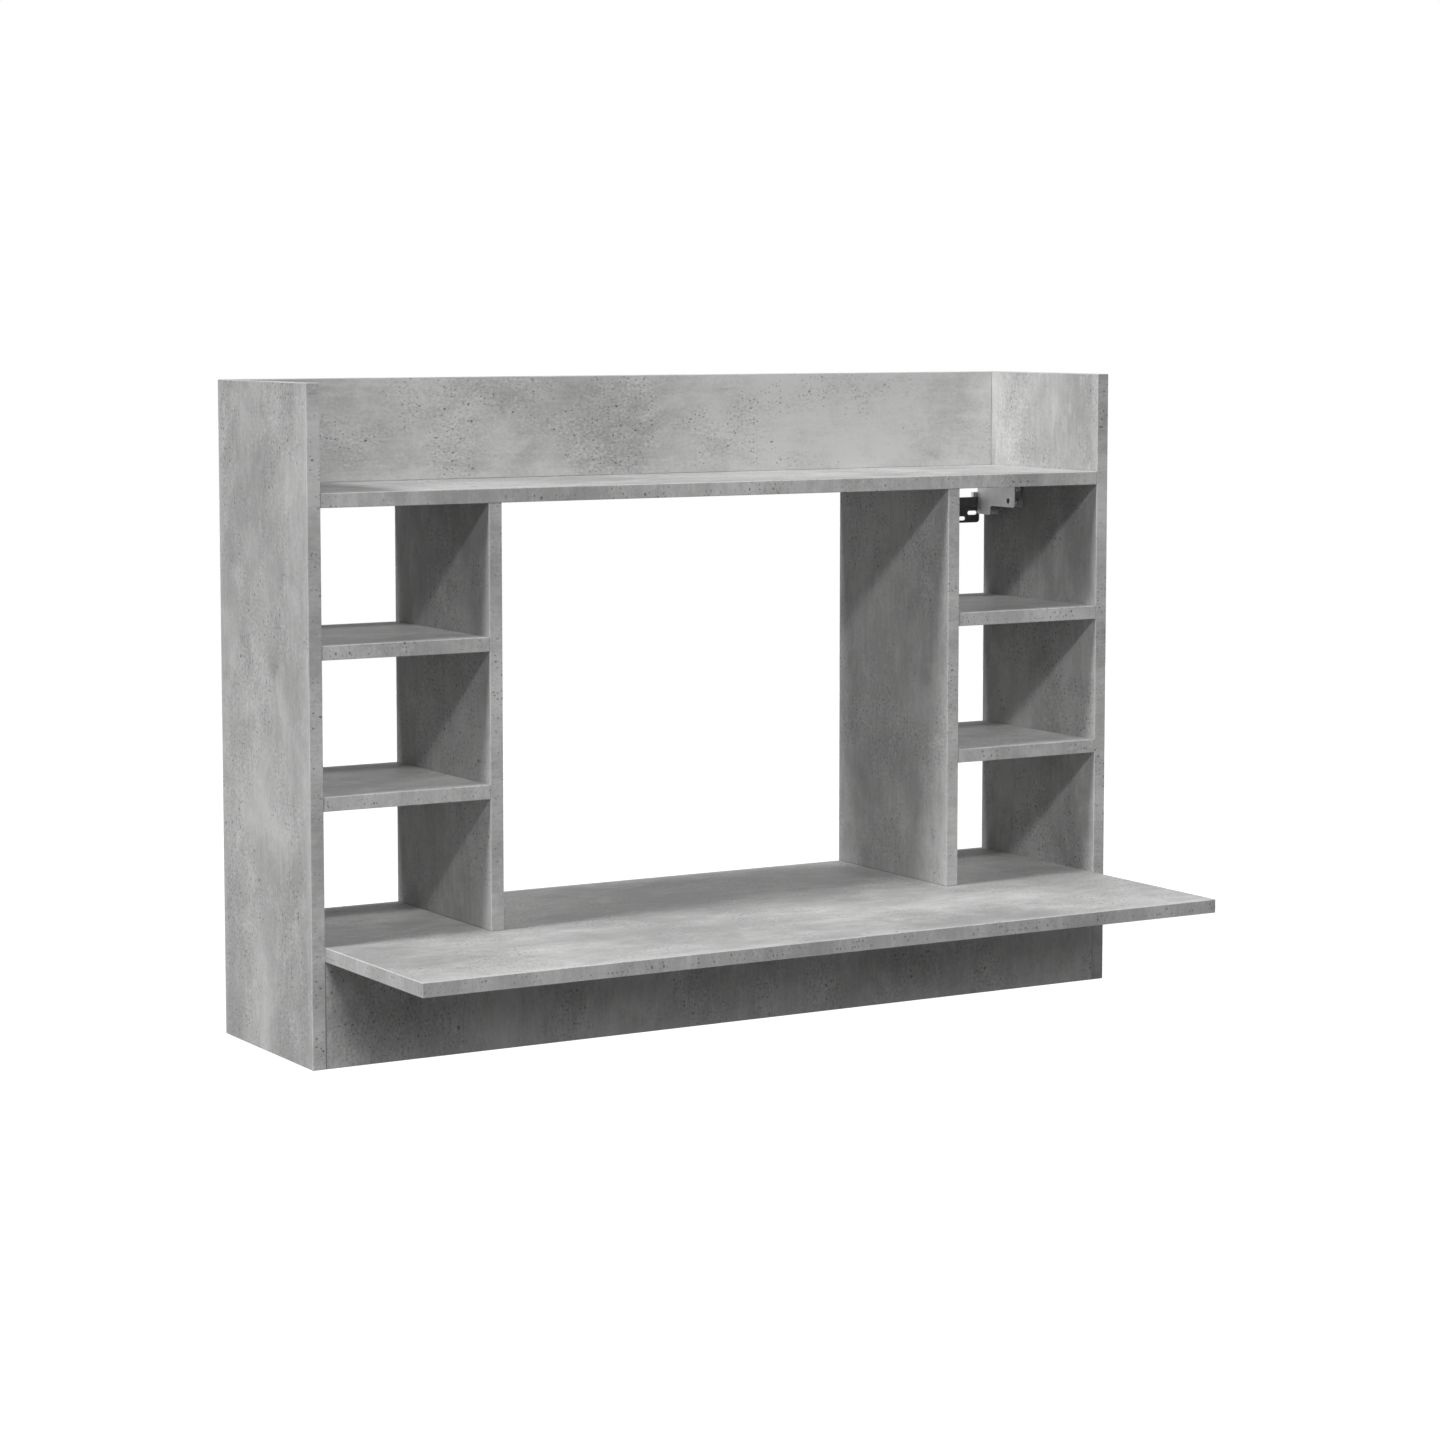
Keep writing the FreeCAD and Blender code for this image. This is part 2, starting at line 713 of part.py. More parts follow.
def make_housing():
    """Folded channel, open below and behind, with a turned-down front tab and a peg into the panel."""
    body = hanger_body("hanger_housing")
    rear_bottom = -mm.hanger_rear_drop
    front_bottom = -mm.hanger_front_drop
    sketch = sketch_on(body, "XZ_Plane", mm.hanger_wall_gap)
    draw_outline(sketch, [
        (0, rear_bottom),
        (0, web_top),
        (-mm.hanger_width, web_top),
        (-mm.hanger_width, rear_bottom),
        (channel_far, rear_bottom),
        (channel_far, web_under),
        (channel_near, web_under),
        (channel_near, rear_bottom),
    ])
    pad(body, sketch, mm.hanger_length)

    # The cheeks are cut away below their front stretch, with a slanted step
    step = -mm.hanger_wall_gap - mm.hanger_rear_length
    beyond = -housing_front - mm.hanger_sheet
    sketch = sketch_on(body, "YZ_Plane")
    draw_outline(sketch, [
        (beyond, front_bottom),
        (step - mm.hanger_slant, front_bottom),
        (step, front_bottom - mm.hanger_slant),
        (step, rear_bottom - mm.hanger_sheet),
        (beyond, rear_bottom - mm.hanger_sheet),
    ])
    pocket(body, sketch, mm.hanger_width)

    cheek_corners = [(-housing_front, front_bottom), (-mm.hanger_wall_gap, rear_bottom), (step, rear_bottom)]
    soften(body, "Fillet", mm.hanger_corner, lambda edge: runs_along(edge, "x") and any(
        passes(edge, y=y, z=z) for y, z in cheek_corners
    ))
    soften(body, "Fillet", mm.hanger_bend, lambda edge: runs_along(edge, "y") and any(
        passes(edge, x=x, z=web_top) for x in (0, -mm.hanger_width)
    ))
    soften(body, "Fillet", mm.hanger_bend - mm.hanger_sheet, lambda edge: runs_along(edge, "y") and any(
        passes(edge, x=x, z=web_under) for x in (channel_near, channel_far)
    ))

    sketch = sketch_on(body, "XZ_Plane", tab_rear)
    draw_box(
        sketch,
        (channel_far + mm.slide_play, web_under - mm.tab_drop),
        (channel_near - mm.slide_play, web_under + mm.hanger_sheet / 2),
    )
    pad(body, sketch, mm.hanger_sheet)
    sketch = sketch_on(body, "XZ_Plane", tab_rear)
    draw_circle(sketch, depth_axis, depth_bore)
    pocket(body, sketch, mm.hanger_sheet, along_normal=True)

    sketch = sketch_on(body, "YZ_Plane")
    draw_circle(sketch, (-mm.peg_from_wall, -mm.peg_drop), mm.peg_diameter / 2 - mm.hole_play)
    pad(body, sketch, mm.peg_length)

    fixing = (-mm.fixing_from_wall, -mm.fixing_drop)
    for lift, diameter in ((0, mm.fixing_diameter + 2 * mm.hole_play), (channel_far, mm.access_diameter)):
        sketch = sketch_on(body, "YZ_Plane", lift)
        draw_circle(sketch, fixing, diameter / 2)
        pocket(body, sketch, mm.hanger_sheet)


def make_carriage():
    """Zinc frame that slides between the cheeks: a window for the hook, and a threaded nose in front."""
    body = hanger_body("hanger_carriage")
    top = web_under - mm.top_play
    back = -mm.carriage_from_wall
    front = back - mm.carriage_length
    frame_front = back - mm.carriage_frame_length
    near = channel_near - mm.slide_play
    far = channel_far + mm.slide_play
    sketch = sketch_on(body, "YZ_Plane", near)
    draw_outline(sketch, [
        (front, top),
        (back, top),
        (back, -mm.carriage_drop),
        (frame_front, -mm.carriage_drop),
        (frame_front, -mm.carriage_nose_drop),
        (front, -mm.carriage_nose_drop),
    ])
    pad(body, sketch, near - far, against_normal=True)
    sketch = sketch_on(body, "XZ_Plane", mm.carriage_from_wall)
    draw_box(
        sketch,
        (far + mm.carriage_side, -mm.carriage_drop + mm.carriage_cap),
        (near - mm.carriage_side, top - mm.carriage_cap),
    )
    pocket(body, sketch, mm.carriage_frame_length - mm.carriage_front, along_normal=True)
    sketch = sketch_on(body, "XZ_Plane", -front)
    draw_circle(sketch, depth_axis, depth_bore)
    pocket(body, sketch, mm.carriage_length - mm.carriage_frame_length + mm.carriage_front)
    sketch = sketch_on(body, "XY_Plane", top)
    draw_circle(sketch, height_axis, height_bore)
    pocket(body, sketch, mm.carriage_drop)


def make_hook():
    """Steel hook: a nut block in the carriage's window, an arm, and a nose with a lip over the wall plate."""
    body = hanger_body("hanger_hook")
    tip = -mm.hook_wall_gap
    window_back = -mm.carriage_from_wall - mm.slide_play
    block_front = window_back - mm.hook_block_length
    block_top = -mm.hook_block_top
    block_bottom = block_top - mm.hook_block_height
    arm_top = -mm.hook_arm_top
    arm_bottom = arm_top - mm.hook_arm_height
    lip_front = tip - mm.hook_lip_thickness
    lip_bottom = arm_bottom - mm.hook_lip_length
    nose_front = tip - mm.hook_nose_depth
    near = channel_near - mm.slide_play - mm.carriage_side - mm.hook_play
    far = channel_far + mm.slide_play + mm.carriage_side + mm.hook_play
    sketch = sketch_on(body, "YZ_Plane", near)
    draw_outline(sketch, [
        (block_front, block_top),
        (window_back, block_top),
        (window_back, arm_top),
        (tip, arm_top),
        (tip, lip_bottom),
        (lip_front, lip_bottom),
        (lip_front, arm_bottom),
        (window_back, arm_bottom),
        (window_back, block_bottom),
        (block_front, block_bottom),
    ])
    pad(body, sketch, near - far, against_normal=True)
    sketch = sketch_on(body, "YZ_Plane", far)
    draw_outline(sketch, [
        (nose_front, arm_top),
        (tip, arm_top),
        (tip, lip_bottom),
        (lip_front, lip_bottom),
        (lip_front, arm_bottom),
        (nose_front, arm_bottom),
    ])
    pad(body, sketch, far + mm.hook_nose_reach, against_normal=True)
    soften(body, "Fillet", mm.hook_round, lambda edge: runs_along(edge, "x") and (
        passes(edge, y=tip, z=arm_top) or passes(edge, y=nose_front, z=arm_top)
        or passes(edge, y=tip, z=lip_bottom)
    ))
    sketch = sketch_on(body, "XY_Plane", block_top)
    draw_circle(sketch, height_axis, height_bore)
    pocket(body, sketch, mm.hook_block_height)


def make_adjuster(label, thread_diameter, run, grip, head_diameter, head_height):
    """Adjusting screw, its own Z from tip to head; the grip between collar and head turns in a wall."""
    body = hanger_body(label)
    thread = thread_diameter / 2
    collar = thread + mm.collar_extra
    head = head_diameter / 2
    collar_end = run - mm.collar_play
    head_start = run + grip + mm.collar_play
    head_end = head_start + head_height
    revolve(body, [
        (0, 0),
        (thread - mm.tip_bevel, 0),
        (thread, mm.tip_bevel),
        (thread, collar_end - mm.collar_height),
        (collar, collar_end - mm.collar_height),
        (collar, collar_end),
        (thread, collar_end),
        (thread, head_start),
        (head, head_start),
        (head, head_end - mm.tip_bevel),
        (head - mm.tip_bevel, head_end),
        (0, head_end),
    ])
    drive_cross(body, thread_diameter, mm.drive_width, mm.drive_depth, head_end)


def make_wall_plate():
    """Pressed steel plate with two outer slots and a lower middle one, its upper lip joggled off the wall."""
    body = hanger_body("wall_plate")
    top = -mm.hook_arm_top - mm.hook_arm_height
    bottom = -mm.plate_bottom_drop
    lip_bottom = top - mm.plate_lip_height
    flat_top = lip_bottom - mm.plate_joggle_height
    lip_back = -mm.plate_standoff
    near = -mm.plate_from_panel
    far = near - mm.plate_length
    sketch = sketch_on(body, "YZ_Plane", near)
    draw_outline(sketch, [
        (0, bottom),
        (0, flat_top),
        (lip_back, lip_bottom),
        (lip_back, top),
        (lip_back - mm.plate_sheet, top),
        (lip_back - mm.plate_sheet, lip_bottom - mm.plate_sheet / 2),
        (-mm.plate_sheet, flat_top - mm.plate_sheet / 2),
        (-mm.plate_sheet, bottom),
    ])
    pad(body, sketch, mm.plate_length, against_normal=True)
    soften(body, "Fillet", mm.plate_corner, lambda edge: runs_along(edge, "y") and any(
        passes(edge, x=x, z=z) for x in (near, far) for z in (top, bottom)
    ))
    slot_level = -mm.slot_drop
    sketch = sketch_on(body, "XZ_Plane", mm.plate_sheet)
    for across in (near - mm.outer_slot_from_edge, far + mm.outer_slot_from_edge):
        draw_slot(sketch, (across, slot_level), mm.slot_length, mm.slot_width)
    pocket(body, sketch, mm.plate_sheet)
    sketch = sketch_on(body, "XZ_Plane", mm.plate_sheet)
    middle_level = slot_level - mm.middle_slot_lower
    draw_slot(sketch, ((near + far) / 2, middle_level), mm.middle_slot_length, mm.slot_width)
    pocket(body, sketch, mm.plate_sheet)


make_housing()
make_carriage()
make_hook()
make_adjuster(
    "depth_screw",
    mm.depth_thread_diameter,
    tab_rear - mm.depth_tip_from_wall,
    mm.hanger_sheet,
    mm.depth_head_diameter,
    mm.depth_head_height,
)
carriage_floor_top = mm.carriage_drop - mm.carriage_cap
make_adjuster(
    "height_screw",
    mm.height_thread_diameter,
    carriage_floor_top - mm.height_tip_drop,
    mm.carriage_cap,
    mm.height_head_diameter,
    mm.height_head_height,
)
make_wall_plate()

for label, body in hanger_pieces.items():
    place(body, hanger_datum)
screw_column = inner_half + hanger_middle
place(
    hanger_pieces["depth_screw"],
    (screw_column, -mm.depth_tip_from_wall, shelf_under - mm.depth_axis_drop),
    turned("front"),
)
place(
    hanger_pieces["height_screw"],
    (screw_column, -mm.height_axis_from_wall, shelf_under - mm.height_tip_drop),
    turned("down"),
)

nodes = {f"right_{label}": body for label, body in hanger_pieces.items()}
for label, body in hanger_pieces.items():
    mirror = doc.addObject("Part::Mirroring", f"left_{label}")
    mirror.Source = body
    mirror.Normal = FreeCAD.Vector(1, 0, 0)
    nodes[f"left_{label}"] = mirror

# Each housing's peg and fixing screw sit in holes of the side panel
for side, sign in SIDES.items():
    panel = f"{side}_side_panel"
    face = sign * inner_half
    peg_mouth = (face, -mm.peg_from_wall, shelf_under - mm.peg_drop)
    drill(panel, peg_mouth, side, mm.peg_diameter / 2, mm.peg_length + mm.hole_spare)
    screw_mouth = (face, -mm.fixing_from_wall, shelf_under - mm.fixing_drop)
    screw_depth = mm.fixing_length - mm.hanger_sheet + mm.hole_spare
    drill(panel, screw_mouth, side, mm.fixing_diameter / 2 + mm.hole_play, screw_depth)
    put("hanger_fixing_screws", moved(screw_mouth, BACK_FROM[side], mm.hanger_sheet), turned(BACK_FROM[side]))

# The drilled boards and the groups of fasteners
for label, blank in boards.items():
    tools = doc.addObject("Part::MultiFuse", f"{label}_holes")
    tools.Shapes = holes[label]
    drilled = doc.addObject("Part::Cut", label)
    drilled.Base = blank
    drilled.Tool = tools
    nodes[label] = drilled
for group, (master, links) in groups.items():
    compound = doc.addObject("Part::Compound", group)
    compound.Links = links
    nodes[group] = compound

doc.recompute()

for item in doc.Objects:
    if "Invalid" in item.State or "Error" in item.State:
        raise RuntimeError(f"{item.Label} failed: {item.State}")
for label, item in nodes.items():
    item.Label = label
    if item.Shape.isNull() or not item.Shape.isValid():
        raise RuntimeError(f"{label} has no valid shape")

os.makedirs("parts", exist_ok=True)
for label, item in nodes.items():
    item.Shape.exportStep(f"parts/{label}.step")
    print(f"{label}: {len(item.Shape.Solids)} solids, {item.Shape.Volume / 1000:.2f} cm3")
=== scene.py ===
import math

import bpy
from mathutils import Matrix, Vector


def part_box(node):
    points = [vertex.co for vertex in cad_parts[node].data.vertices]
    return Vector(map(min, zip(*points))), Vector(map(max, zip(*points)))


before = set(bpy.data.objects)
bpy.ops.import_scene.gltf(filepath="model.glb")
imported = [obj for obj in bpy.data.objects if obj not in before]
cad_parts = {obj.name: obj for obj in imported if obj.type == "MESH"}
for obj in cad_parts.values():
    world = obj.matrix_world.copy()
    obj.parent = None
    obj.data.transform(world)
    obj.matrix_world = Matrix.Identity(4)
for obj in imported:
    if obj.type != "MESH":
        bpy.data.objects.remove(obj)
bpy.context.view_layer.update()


# Side panels: two upright boards of 15 mm particle board that carry everything else.
# Their faces are melamine paper printed as fair-faced concrete, with the print's run upright,
# and a thin band of the same print is glued round their edges. Air holes are given by how far apart
# they lie and how far the largest reach.

GRAIN_UPRIGHT = "ZYX"
GRAIN_LENGTHWISE = "XYZ"
BAND_THICKNESS = 0.0008
PRINT_DARK = (0.340, 0.340, 0.338, 1.0)
PRINT_MIDDLE = (0.485, 0.485, 0.482, 1.0)
PRINT_LIGHT = (0.640, 0.640, 0.636, 1.0)
PIT_COLOUR = (0.120, 0.120, 0.118, 1.0)
# The pale edge colour stands for wear on the corners and for painted highlight and painted light along
# the edges; the pale margin is how far that painted light reaches in from the long edges.
EDGE_WEAR_AND_PAINTED_LIGHT = (0.800, 0.800, 0.795, 1.0)
PAINTED_LIGHT_MARGIN = 0.016
JOINT_LINE = 0.0014
AIR_HOLES = ((0.018, 0.0019), (0.0070, 0.0013), (0.0036, 0.0010))


def put(tree, kind, feeds=None, **settings):
    """Adds a node, makes its settings, and feeds each named socket from an output or with a value."""
    made = tree.nodes.new(kind)
    for name, value in settings.items():
        setattr(made, name, value)
    for socket, value in (feeds or {}).items():
        if isinstance(value, bpy.types.NodeSocket):
            tree.links.new(value, made.inputs[socket])
        else:
            made.inputs[socket].default_value = value
    return made


def calc(tree, operation, first, second=0.0):
    """One sum on numbers; returns its result."""
    return put(tree, "ShaderNodeMath", {0: first, 1: second}, operation=operation).outputs[0]


def ease(tree, value, start, end, low=0.0, high=1.0):
    """Runs smoothly from low to high as value goes from start to end."""
    feeds = {"Value": value, "From Min": start, "From Max": end, "To Min": low, "To Max": high}
    return put(tree, "ShaderNodeMapRange", feeds, interpolation_type="SMOOTHSTEP").outputs["Result"]


def noise(tree, place, scale, detail=3.0, roughness=0.55, distortion=0.0):
    """Cloudy noise between 0 and 1 at a place, with scale in features a metre."""
    feeds = {"Vector": place, "Scale": scale, "Detail": detail, "Roughness": roughness,
             "Distortion": distortion}
    return put(tree, "ShaderNodeTexNoise", feeds).outputs["Fac"]


def stretch(tree, place, factors):
    """Multiplies a place by a factor along each axis, so that a pattern there is drawn out."""
    return put(tree, "ShaderNodeVectorMath", {0: place, 1: factors}, operation="MULTIPLY").outputs[0]


def blend(tree, share, first, second):
    """Mixes two colours by share."""
    return put(tree, "ShaderNodeMix", {0: share, 6: first, 7: second}, data_type="RGBA").outputs[2]


def new_finish(name):
    """An empty material; returns it with its node tree and its shader."""
    finish = bpy.data.materials.new(name)
    finish.use_nodes = True
    tree = finish.node_tree
    return finish, tree, tree.nodes["Principled BSDF"]


def dress(node, finish):
    """Puts one finish on a node, in place of the plain one that it came with."""
    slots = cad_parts[node].data.materials
    slots.clear()
    slots.append(finish)


def printed_board(node, grain, sheet, fitted=True, crosswise=False, edge_wear_and_highlight=0.5, pocked=0.5,
                  pale=0.0, drift=0.0):
    """The printed concrete finish of one board. grain names the frame's axes in the order along the
    board and then across it, sheet is the place on the print that the board was cut from, fitted says
    that its ends butt against other boards, crosswise turns the print a quarter on its faces, worn is
    how far its corners show wear and a painted highlight, pocked is how far its bands are sown with
    air holes, pale is how much paler than the rest the print is there, and drift is how much paler the
    colour grows in a metre along the board."""
    low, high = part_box(node)
    centre = (low + high) / 2
    half = (high - low) / 2
    order = ["XYZ".index(letter) for letter in grain]
    thin = min(order, key=lambda axis: half[axis])
    along, across = order[0], [axis for axis in order[1:] if axis != thin][0]
    finish, tree, shader = new_finish("printed_" + node)

    # place on the board, measured from its middle
    spot = put(tree, "ShaderNodeTexCoord").outputs["Object"]
    spot = put(tree, "ShaderNodeVectorMath", {0: spot, 1: centre}, operation="SUBTRACT").outputs[0]
    parts = put(tree, "ShaderNodeSeparateXYZ", {0: spot}).outputs
    run, width, depth = parts[along], parts[across], parts[thin]

    # distances from the board's ends, its long edges and its faces
    from_end = calc(tree, "SUBTRACT", half[along], calc(tree, "ABSOLUTE", run))
    from_side = calc(tree, "SUBTRACT", half[across], calc(tree, "ABSOLUTE", width))
    from_face = calc(tree, "SUBTRACT", half[thin], calc(tree, "ABSOLUTE", depth))
    from_rim = calc(tree, "MINIMUM", from_end, from_side)
    band = ease(tree, from_rim, 0.7 * BAND_THICKNESS, BAND_THICKNESS, 1.0, 0.0)
    corner = calc(tree, "MAXIMUM", from_face, from_side if fitted else from_rim)
    rim = ease(tree, corner, 0.0, 1.6 * BAND_THICKNESS, 1.0, 0.0)

    # the two faces and the bands show other places of the print, and on a band it runs across
    print_run, print_width = (width, run) if crosswise else (run, width)
    other_side = calc(tree, "MULTIPLY", calc(tree, "SIGN", depth), 1.7)
    print_run = calc(tree, "ADD", print_run, other_side)
    round_board = calc(tree, "ADD", run, width)
    on_face = put(tree, "ShaderNodeCombineXYZ", {0: print_run, 1: print_width, 2: 0.0}).outputs[0]
    on_band = put(tree, "ShaderNodeCombineXYZ", {0: depth, 1: round_board, 2: 5.3}).outputs[0]
    print_spot = put(tree, "ShaderNodeMix", {0: band, 4: on_face, 5: on_band}, data_type="VECTOR")
    print_spot = print_spot.outputs[1]
    print_spot = put(tree, "ShaderNodeVectorMath", {0: print_spot, 1: sheet}).outputs[0]

    # broad clouds, torn patches, scraped marks, short trowel strokes along the run, and sandy specks
    # in loose flocks, fewer of them on the bands
    drawn = stretch(tree, print_spot, (0.7, 1.0, 1.0))
    combed = stretch(tree, print_spot, (0.14, 1.0, 1.0))
    clouds = noise(tree, drawn, 6.0, 3.0, 0.5, 0.4)
    patches = noise(tree, drawn, 24.0, 6.0, 0.68, 0.7)
    scraped = noise(tree, drawn, 48.0, 8.0, 0.74, 0.5)
    strokes = noise(tree, combed, 170.0, 3.0, 0.6)
    specks = noise(tree, drawn, 330.0, 3.0, 0.75)
    flock = ease(tree, noise(tree, drawn, 13.0, 3.0, 0.6), 0.42, 0.62)
    tone = calc(tree, "MULTIPLY", clouds, 0.75)
    tone = calc(tree, "ADD", tone, calc(tree, "MULTIPLY", patches, 0.42))
    tone = calc(tree, "ADD", tone, calc(tree, "MULTIPLY", strokes, 0.22))
    tone = calc(tree, "ADD", tone, ease(tree, scraped, 0.50, 0.57, -0.022, 0.030))
    tone = calc(tree, "ADD", tone, ease(tree, scraped, 0.36, 0.41, -0.070, 0.0))
    sand = calc(tree, "SUBTRACT", specks, 0.5)
    sand = calc(tree, "MULTIPLY", sand, ease(tree, flock, 0.0, 1.0, 0.30, 0.90))
    sand = calc(tree, "MULTIPLY", sand, ease(tree, band, 0.0, 1.0, 1.0, 0.55))
    tone = calc(tree, "ADD", tone, sand)
    tone = calc(tree, "ADD", tone, calc(tree, "MULTIPLY", run, drift))
    tone = calc(tree, "ADD", tone, pale)
    shade = put(tree, "ShaderNodeValToRGB", {0: ease(tree, tone, 0.42, 0.97)})
    ramp = shade.color_ramp.elements
    ramp[0].color, ramp[1].color = PRINT_DARK, PRINT_LIGHT
    ramp.new(0.5).color = PRINT_MIDDLE
    colour = shade.outputs["Color"]

    # ragged air holes among the specks, drawn out along the run, a few of them large, and in clumps
    # on the bands
    ragged = put(tree, "ShaderNodeTexNoise", {"Vector": drawn, "Scale": 420.0, "Detail": 1.0})
    ragged = stretch(tree, ragged.outputs["Color"], (0.0016, 0.0016, 0.0))
    ragged = put(tree, "ShaderNodeVectorMath", {0: drawn, 1: ragged}).outputs[0]
    pits = 0.0
    for spacing, largest in AIR_HOLES:
        cells = put(tree, "ShaderNodeTexVoronoi", {"Vector": ragged, "Scale": 1 / spacing},
                    voronoi_dimensions="2D")
        chance = put(tree, "ShaderNodeSeparateColor", {0: cells.outputs["Color"]}).outputs[0]
        reach = ease(tree, band, 0.0, 1.0, largest / spacing, 1.15 * largest / spacing)
        radius = calc(tree, "MULTIPLY", calc(tree, "POWER", chance, 2.5), reach)
        inward = calc(tree, "SUBTRACT", radius, cells.outputs["Distance"])
        pits = calc(tree, "MAXIMUM", pits, ease(tree, inward, 0.0, 0.5 * largest / spacing))
    clumps = ease(tree, noise(tree, print_spot, 42.0, 2.0), 0.46, 0.58, 0.15, pocked)
    pitted = ease(tree, flock, 0.1, 0.8, 0.12, 1.0)
    pitted = calc(tree, "MAXIMUM", pitted, calc(tree, "MULTIPLY", band, clumps))
    pits = calc(tree, "MULTIPLY", pits, pitted)
    colour = blend(tree, calc(tree, "MULTIPLY", pits, 0.8), colour, PIT_COLOUR)

    # painted light: paler towards the long edges; the bands' corners paler still, unevenly, partly from
    # wear and partly a painted highlight; and a dark joint line where an end meets the next board
    face_edge = calc(tree, "ADD", from_side, calc(tree, "MULTIPLY", band, 0.1))
    colour = blend(tree, ease(tree, face_edge, 0.0, PAINTED_LIGHT_MARGIN, 0.16, 0.0), colour, EDGE_WEAR_AND_PAINTED_LIGHT)
    wear_and_highlight = ease(tree, noise(tree, print_spot, 40.0, 3.0), 0.30, 0.62, 0.32 * edge_wear_and_highlight, 0.74 * edge_wear_and_highlight)
    colour = blend(tree, calc(tree, "MULTIPLY", rim, wear_and_highlight), colour, EDGE_WEAR_AND_PAINTED_LIGHT)
    if fitted:
        colour = blend(tree, ease(tree, from_end, 0.0, JOINT_LINE, 0.55, 0.0), colour, PIT_COLOUR)
    tree.links.new(colour, shader.inputs["Base Color"])

    # low sheen, a little duller in the pale clouds, over a fine pressed texture
    gloss = ease(tree, calc(tree, "ADD", specks, clouds), 0.6, 1.4, 0.54, 0.68)
    tree.links.new(gloss, shader.inputs["Roughness"])
    shader.inputs["Specular IOR Level"].default_value = 0.12
    relief = calc(tree, "SUBTRACT", calc(tree, "MULTIPLY", specks, 0.5), pits)
    bump = put(tree, "ShaderNodeBump", {"Strength": 0.35, "Distance": 0.0003, "Height": relief})
    tree.links.new(bump.outputs[0], shader.inputs["Normal"])
    dress(node, finish)


printed_board("left_side_panel", GRAIN_UPRIGHT, (39.0, 7.6, 4.8), fitted=False)
printed_board("right_side_panel", GRAIN_UPRIGHT, (35.9, 15.0, 6.6), fitted=False, pale=-0.025)


# Top shelf and its back strip: the shelf lies between the side panels on dowels and cam locks,
# and the strip stands on its back edge as the tray's rear wall. Both are printed board whose print
# runs lengthwise.

printed_board("top_shelf", GRAIN_LENGTHWISE, (39.6, 26.5, 8.4))
# the strip is drawn paler than the other boards, and paler still towards its right end
printed_board("upper_back_strip", GRAIN_LENGTHWISE, (10.7, 27.1, 8.5), pale=0.07, drift=0.30)


# Dividers: two uprights between top shelf and desktop, screwed from above and below,
# of the same board with the print upright.

for node, sheet in (("left_divider", (5.5, 1.2, 1.9)), ("right_divider", (0.7, 7.1, 2.3))):
    printed_board(node, GRAIN_UPRIGHT, sheet)


# Cubby shelves: four short boards between the side panels and the dividers, on cam locks
# at the sides and dowels at the dividers.

cubby_shelves = {
    "left_upper_cubby_shelf": (19.2, 13.0, 1.0),
    "left_lower_cubby_shelf": (14.0, 16.4, 1.3),
    "right_upper_cubby_shelf": (13.1, 5.2, 8.6),
    "right_lower_cubby_shelf": (37.6, 39.5, 1.2),
}
for node, sheet in cubby_shelves.items():
    printed_board(node, GRAIN_LENGTHWISE, sheet)


# Desktop and apron: the writing top reaches 225 mm out of the carcass, and the apron below it
# closes the front and stiffens the sides.

# the desktop's corners get the full wear and painted highlight
printed_board("desktop", GRAIN_LENGTHWISE, (3.2, 4.9, 3.7), fitted=False, edge_wear_and_highlight=1.0, pocked=0.95,
              pale=-0.035)
printed_board("front_apron", GRAIN_LENGTHWISE, (22.4, 1.6, 2.6), crosswise=True)


# Cam locks and hanger carriages: zinc die castings that come out of the mould dull and pale,
# with a faint blotchy skin.

def cast_zinc():
    """Dull grey casting skin: broad blotches over a fine sandy grain."""
    finish, tree, shader = new_finish("cast_zinc")
    spot = put(tree, "ShaderNodeTexCoord").outputs["Object"]
    blotch = noise(tree, spot, 180.0, 4.0, 0.6)
    sand = noise(tree, spot, 2600.0, 2.0, 0.5)
    skin = ease(tree, blotch, 0.3, 0.7)
    colour = blend(tree, skin, (0.30, 0.30, 0.305, 1.0), (0.46, 0.46, 0.465, 1.0))
    tree.links.new(colour, shader.inputs["Base Color"])
    tree.links.new(ease(tree, sand, 0.3, 0.7, 0.38, 0.55), shader.inputs["Roughness"])
    shader.inputs["Metallic"].default_value = 0.85
    bump = put(tree, "ShaderNodeBump", {"Strength": 0.25, "Distance": 0.0001, "Height": sand})
    tree.links.new(bump.outputs[0], shader.inputs["Normal"])
    return finish


casting = cast_zinc()
for node in ("cam_locks", "left_hanger_carriage", "right_hanger_carriage"):
    dress(node, casting)


# Screws, cam bolts and hooks: steel, zinc plated bright, with fine turning marks
# and a slight blue cast.

def plated_steel():
    """Bright plating: fine marks round the piece and a slow change of sheen."""
    finish, tree, shader = new_finish("plated_steel")
    spot = put(tree, "ShaderNodeTexCoord").outputs["Object"]
    haze = noise(tree, spot, 240.0, 3.0, 0.6)
    marks = noise(tree, spot, 3800.0, 2.0, 0.6)
    colour = blend(tree, ease(tree, haze, 0.3, 0.7), (0.44, 0.45, 0.465, 1.0), (0.60, 0.61, 0.62, 1.0))
    tree.links.new(colour, shader.inputs["Base Color"])
    tree.links.new(ease(tree, marks, 0.3, 0.7, 0.24, 0.40), shader.inputs["Roughness"])
    shader.inputs["Metallic"].default_value = 1.0
    bump = put(tree, "ShaderNodeBump", {"Strength": 0.2, "Distance": 0.00005, "Height": marks})
    tree.links.new(bump.outputs[0], shader.inputs["Normal"])
    return finish


plating = plated_steel()
for node in ("cam_bolts", "confirmat_screws", "hanger_fixing_screws"):
    dress(node, plating)
for side in ("left", "right"):
    for piece in ("hanger_hook", "depth_screw", "height_screw"):
        dress(f"{side}_{piece}", plating)


# Dowels: fluted beech pins glued into the boards' ends.

